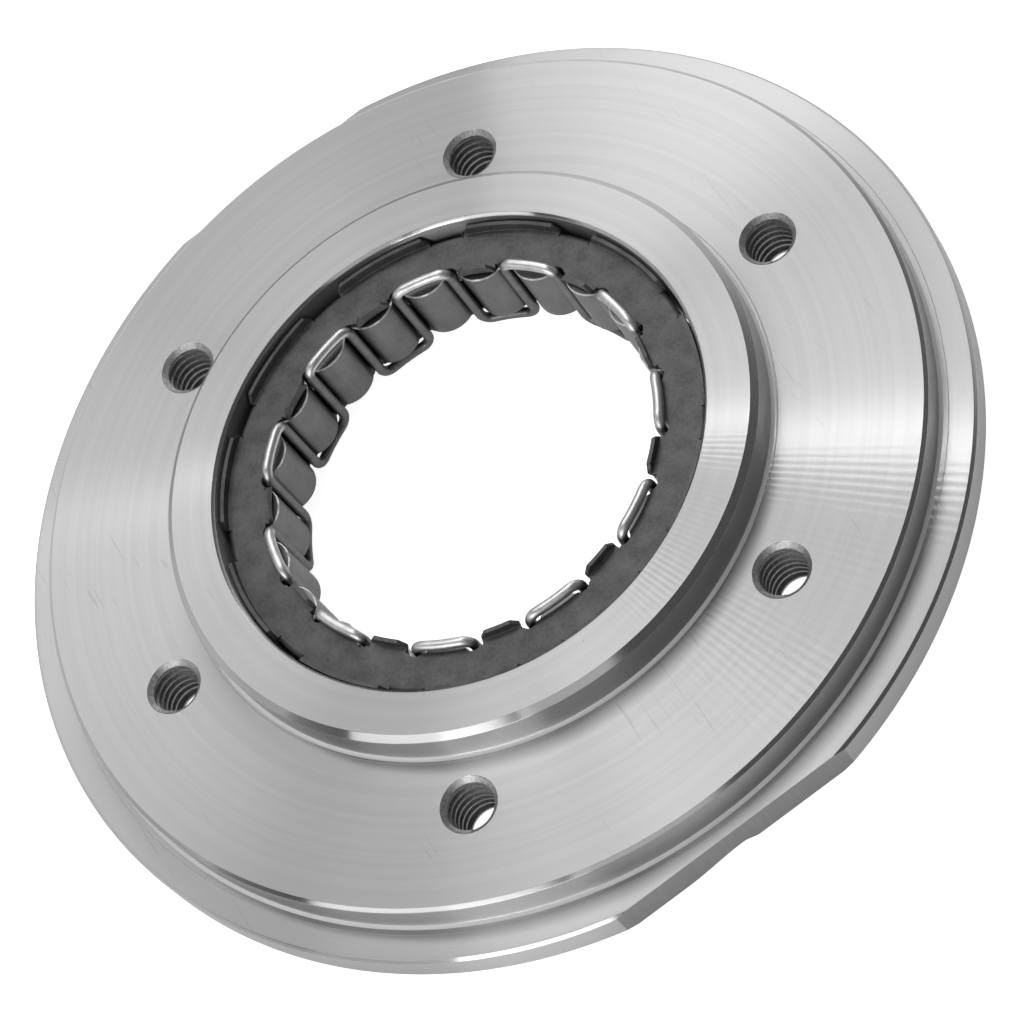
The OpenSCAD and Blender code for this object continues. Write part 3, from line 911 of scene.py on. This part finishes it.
# Name, azimuth and elevation in degrees, distance in metres, width and height in metres, watts
CARD = (0.32, 0.32)
LIGHTS = (
    ("low_front_left", 229, 12, 0.7, CARD, 1.45),
    ("left_front", 208, 33, 0.7, (0.46, 0.32), 0.8),
    ("left_of_camera", 252, 44, 0.7, CARD, 0.24),
    ("left_back", 157.5, 30, 0.7, CARD, 0.24),
    ("near_back_right", 60, 30, 0.28, (0.14, 0.10), 0.095),
    ("back_right", 60, 50, 0.7, CARD, 0.45),
    ("back_left", 120, 50, 0.7, CARD, 0.25),
    ("high_back", 90, 68, 0.7, CARD, 0.76),
    # A small lamp overhead, for the reliefs and the wire
    ("overhead", 90, 88, 0.7, (0.2, 0.2), 0.22),
    # The narrow lamp that draws the bright sweep across the turned faces
    ("strip", 41, 63, 0.7, (0.05, 0.02), 0.21),
)


def soft_light(name, azimuth, elevation, distance, size, power):
    """A rectangular soft light at a place round the clutch, aimed at its middle."""
    lamp = bpy.data.lights.new(name, "AREA")
    lamp.shape = "RECTANGLE"
    lamp.size, lamp.size_y = size
    lamp.energy = power
    light = bpy.data.objects.new(name, lamp)
    turn, rise = math.radians(azimuth), math.radians(elevation)
    towards = Vector((math.cos(turn) * math.cos(rise), math.sin(turn) * math.cos(rise),
                      math.sin(rise)))
    light.location = towards * distance
    light.rotation_euler = (-towards).to_track_quat("-Z", "Y").to_euler()
    light.visible_camera = False
    bpy.context.scene.collection.objects.link(light)


def studio_floor(tint):
    """White paper floor: matt, and lifted to white where the camera or the metal sees it."""
    material, tree = new_material("studio_floor")
    ray = node(tree, "ShaderNodeLightPath").outputs
    mirrored = node(tree, "ShaderNodeMath", {"operation": "MAXIMUM"},
                    {0: ray["Is Glossy Ray"], 1: ray["Is Transmission Ray"]})
    mirrored = node(tree, "ShaderNodeMath", {"operation": "MULTIPLY", 1: FLOOR_GLOW_MIRRORED},
                    {0: mirrored})
    strength = node(tree, "ShaderNodeMath", {"operation": "MULTIPLY_ADD", 1: FLOOR_GLOW_SEEN},
                    {0: ray["Is Camera Ray"], 2: mirrored})
    diffuse = node(tree, "ShaderNodeBsdfDiffuse", {"Color": tint})
    glow = node(tree, "ShaderNodeEmission", None, {"Strength": strength})
    both = node(tree, "ShaderNodeAddShader", None, {0: diffuse, 1: glow})
    node(tree, "ShaderNodeOutputMaterial", None, {"Surface": both})
    return material


def light_room(tree):
    """The room: a white backdrop along the horizon, and dim above and behind the camera."""
    direction = node(tree, "ShaderNodeTexCoord").outputs["Generated"]
    height = node(tree, "ShaderNodeSeparateXYZ", None, {0: direction}).outputs[2]
    backdrop = node(tree, "ShaderNodeMapRange",
                    {"interpolation_type": "SMOOTHSTEP", "From Min": BACKDROP_TOP,
                     "From Max": BACKDROP_FADE, "To Min": 1.0, "To Max": CEILING_LIGHT},
                    {"Value": height})
    behind = node(tree, "ShaderNodeVectorMath", {"operation": "DOT_PRODUCT", 1: DARK_SIDE},
                  {0: direction}).outputs["Value"]
    wall = node(tree, "ShaderNodeMapRange",
                {"interpolation_type": "SMOOTHSTEP", "From Min": DARK_FROM,
                 "From Max": DARK_FULL, "To Min": 1.0, "To Max": CEILING_LIGHT},
                {"Value": behind})
    room = node(tree, "ShaderNodeMath", {"operation": "MINIMUM"}, {0: backdrop, 1: wall})
    seen = node(tree, "ShaderNodeLightPath").outputs["Is Camera Ray"]
    light = node(tree, "ShaderNodeMath", {"operation": "MAXIMUM"}, {0: room, 1: seen})
    back = node(tree, "ShaderNodeBackground", {"Color": (1, 1, 1, 1)}, {"Strength": light})
    node(tree, "ShaderNodeOutputWorld", None, {"Surface": back})


class CLUTCH_OT_stage(bpy.types.Operator):
    """Sets up the pale floor, the soft lights and the camera"""
    bl_idname = "clutch.stage"
    bl_label = "Stage"

    def execute(self, context):
        scene = context.scene
        deselect_all()
        bpy.ops.mesh.primitive_plane_add(size=FLOOR_WIDTH, location=(0, 0, 0))
        floor = context.object
        floor.name = "floor"
        dress(floor, studio_floor(scene.clutch_colours.floor))

        world = bpy.data.worlds.new("studio")
        scene.world = world
        world.use_nodes = True
        world.node_tree.nodes.clear()
        light_room(world.node_tree)
        for light in LIGHTS:
            soft_light(*light)

        camera_data = bpy.data.cameras.new("camera")
        camera_data.lens = CAMERA_LENS
        camera_data.sensor_width = SENSOR_WIDTH
        camera_data.clip_start = CAMERA_NEAR
        camera = bpy.data.objects.new("camera", camera_data)
        scene.collection.objects.link(camera)
        turn = Matrix(CAMERA_AXES).transposed().to_4x4()
        camera.matrix_world = Matrix.Translation(CAMERA_PLACE) @ turn
        scene.camera = camera
        scene.view_settings.view_transform = "Standard"
        return {"FINISHED"}


class CLUTCH_PT_sidebar(bpy.types.Panel):
    """Lists the steps that build the clutch, in their order"""
    bl_label = "Starter Clutch"
    bl_idname = "CLUTCH_PT_sidebar"
    bl_space_type = "VIEW_3D"
    bl_region_type = "UI"
    bl_category = "Clutch"

    def draw(self, context):
        for step in STEPS:
            self.layout.operator(step.bl_idname)


STEPS = (CLUTCH_OT_outer_race, CLUTCH_OT_threads, CLUTCH_OT_spring, CLUTCH_OT_cage,
         CLUTCH_OT_sprags, CLUTCH_OT_stage)
GROUPS = {"race_sizes": RaceSizes, "thread_sizes": ThreadSizes, "spring_sizes": SpringSizes,
          "cage_sizes": CageSizes, "clutch_colours": ClutchColours}
CLASSES = (*GROUPS.values(), *STEPS, CLUTCH_PT_sidebar)


def register():
    """Registers the classes and gives the scene its groups of sizes and colours."""
    for cls in CLASSES:
        bpy.utils.register_class(cls)
    for name, group in GROUPS.items():
        setattr(bpy.types.Scene, name, bpy.props.PointerProperty(type=group))


def unregister():
    """Takes them off again."""
    for name in GROUPS:
        delattr(bpy.types.Scene, name)
    for cls in reversed(CLASSES):
        bpy.utils.unregister_class(cls)


def main():
    """Runs the steps in order."""
    register()
    bpy.ops.clutch.outer_race()
    bpy.ops.clutch.threads()
    bpy.ops.clutch.spring()
    bpy.ops.clutch.cage()
    bpy.ops.clutch.sprags()
    bpy.ops.clutch.stage()


if __name__ == "__main__":
    main()
